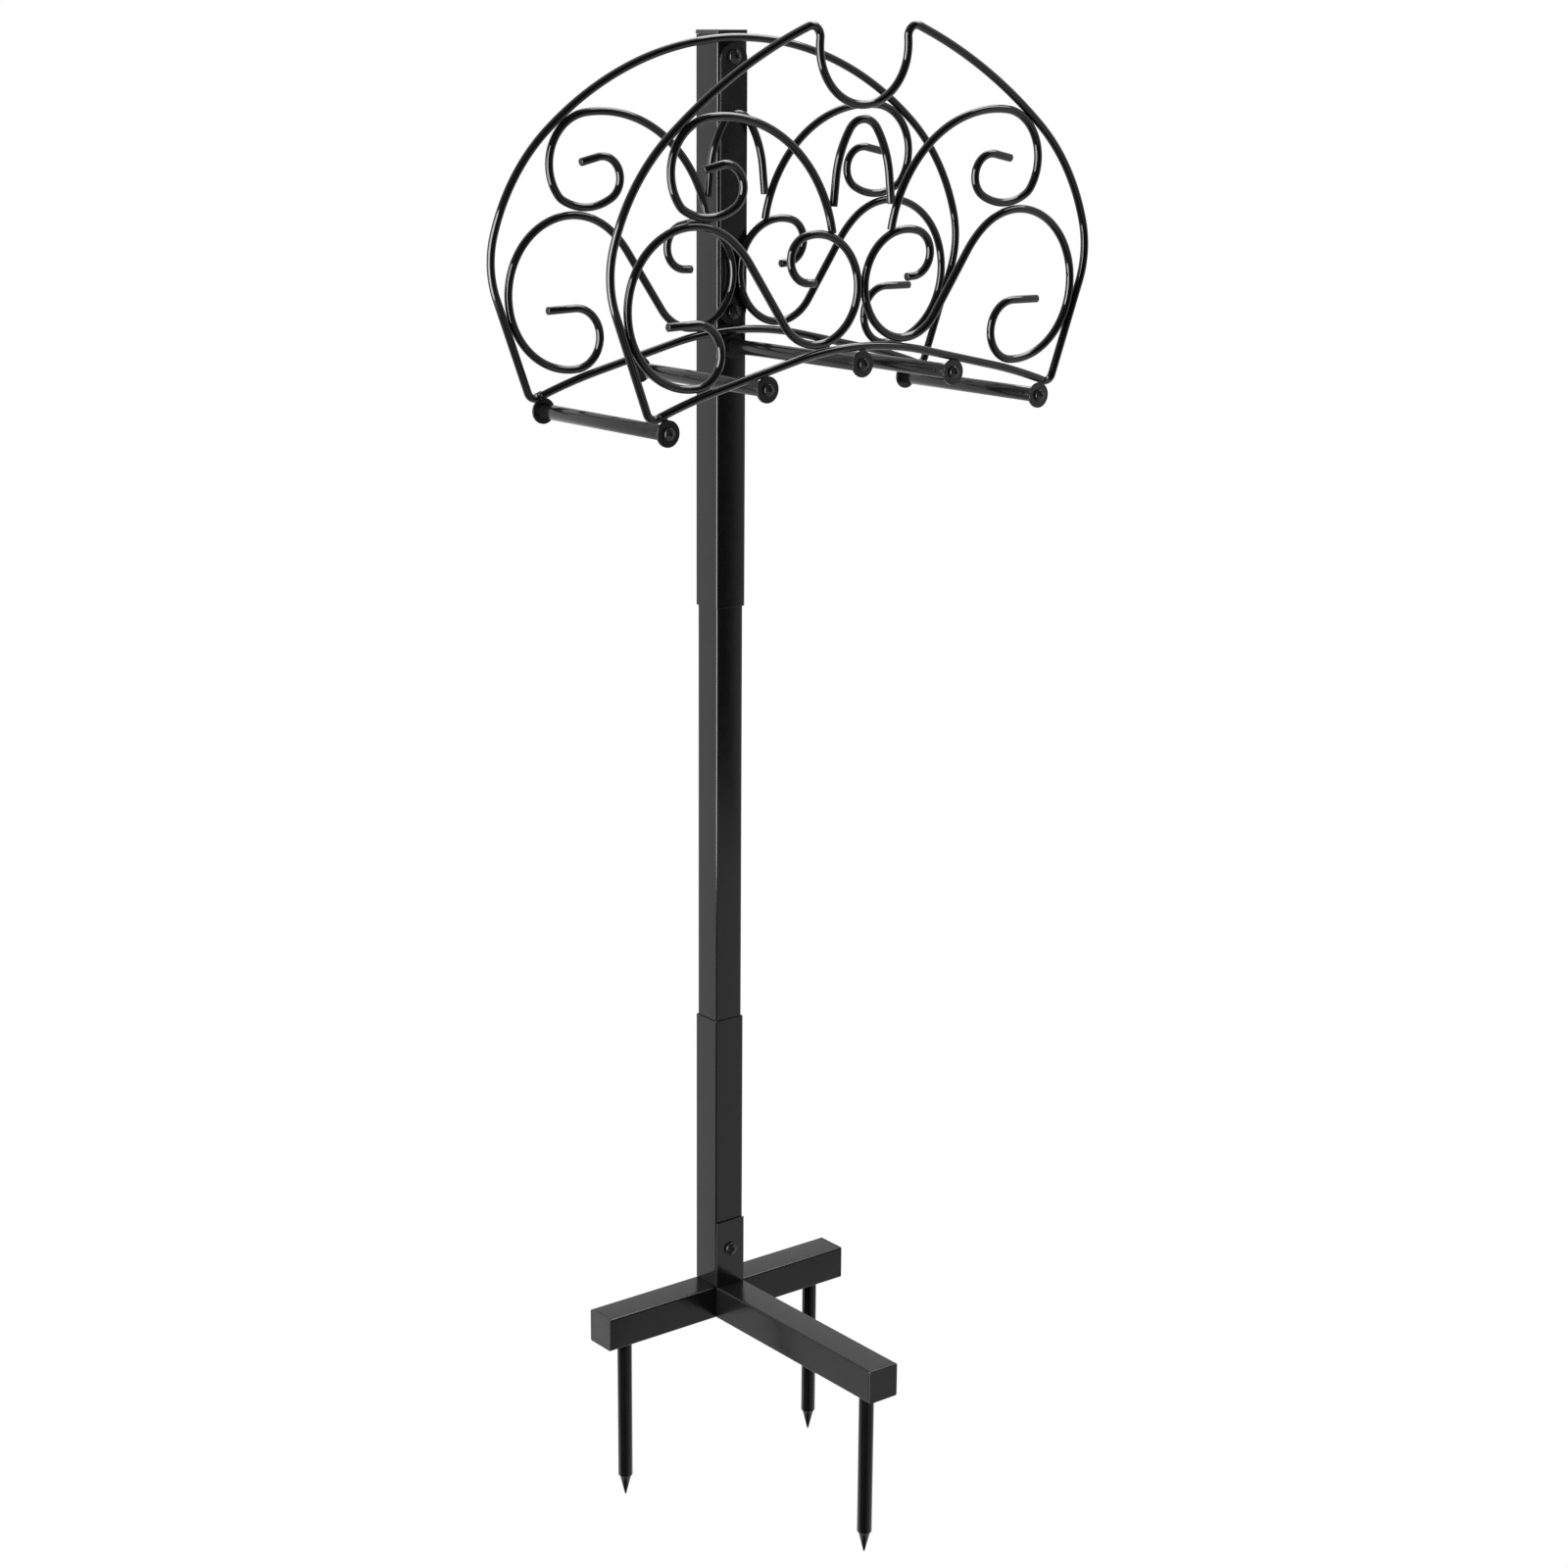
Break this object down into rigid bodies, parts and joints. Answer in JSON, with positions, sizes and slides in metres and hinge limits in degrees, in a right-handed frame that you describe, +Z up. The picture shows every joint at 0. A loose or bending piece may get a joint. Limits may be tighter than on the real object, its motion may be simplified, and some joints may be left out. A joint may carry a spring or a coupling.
{
  "type": "garden hose holder stand",
  "caption": "Free-standing garden hose holder: square telescoping pole on a T-shaped base with ground spikes, scrolled wire panels and bars that carry the coiled hose.",
  "frame": {"origin": "on the pole's axis at ground level, which is the underside of the base tubes; the spikes reach below it", "axes": "+Z up along the pole; the front leg and the front panel are towards -Y; +X is to the right seen from the front"},
  "size_m": [0.4866, 0.2516, 1.2864],
  "materials": {
    "tube_coat": "black powder coat, satin",
    "wire_coat": "black coat, gloss",
    "plate_coat": "black coat, semi-gloss",
    "cap_plastic": "moulded black, matte",
    "screw_black": "black oxide, oiled"
  },
  "bodies": {
    "base": {"base_crossbar": "tube_coat", "base_front_leg": "tube_coat", "base_foot_plate": "plate_coat", "base_cap_left": "cap_plastic", "base_cap_right": "cap_plastic", "base_cap_front": "cap_plastic", "ground_spike_left": "tube_coat", "ground_spike_right": "tube_coat", "ground_spike_front": "tube_coat", "base_bolt": "screw_black", "base_nut": "screw_black", "pole_lower": "tube_coat"},
    "middle_section": {"pole_middle": "tube_coat"},
    "upper_section": {"pole_upper": "tube_coat", "pole_top_cap": "cap_plastic", "rear_mounting_strip": "plate_coat", "strip_bolt_lower": "screw_black", "strip_bolt_upper": "screw_black", "rear_panel_outline": "wire_coat", "rear_bottom_rail": "wire_coat", "rear_upper_scroll_left": "wire_coat", "rear_upper_scroll_right": "wire_coat", "rear_lower_scroll_left": "wire_coat", "rear_lower_scroll_right": "wire_coat", "rear_hairpin": "wire_coat", "front_panel_outline": "wire_coat", "front_bottom_rail": "wire_coat", "front_upper_scroll_left": "wire_coat", "front_upper_scroll_right": "wire_coat", "front_lower_scroll_left": "wire_coat", "front_lower_scroll_right": "wire_coat", "front_hairpin": "wire_coat", "hose_bar_1": "tube_coat", "front_ear_1": "plate_coat", "rear_ear_1": "plate_coat", "front_ear_screw_1": "screw_black", "rear_ear_screw_1": "screw_black", "hose_bar_2": "tube_coat", "front_ear_2": "plate_coat", "rear_ear_2": "plate_coat", "front_ear_screw_2": "screw_black", "rear_ear_screw_2": "screw_black", "hose_bar_3": "tube_coat", "front_ear_3": "plate_coat", "rear_ear_3": "plate_coat", "front_ear_screw_3": "screw_black", "hose_bar_4": "tube_coat", "front_ear_4": "plate_coat", "rear_ear_4": "plate_coat", "front_ear_screw_4": "screw_black", "rear_ear_screw_4": "screw_black", "hose_bar_5": "tube_coat", "front_ear_5": "plate_coat", "rear_ear_5": "plate_coat", "front_ear_screw_5": "screw_black", "rear_ear_screw_5": "screw_black"}
  },
  "joints": [
    {"name": "lower_socket_slide", "type": "slide", "parent": "base", "child": "middle_section", "axis": [0, 0, 1], "range_m": [0, 0.06]},
    {"name": "upper_socket_slide", "type": "slide", "parent": "middle_section", "child": "upper_section", "axis": [0, 0, 1], "range_m": [0, 0.06]}
  ]
}
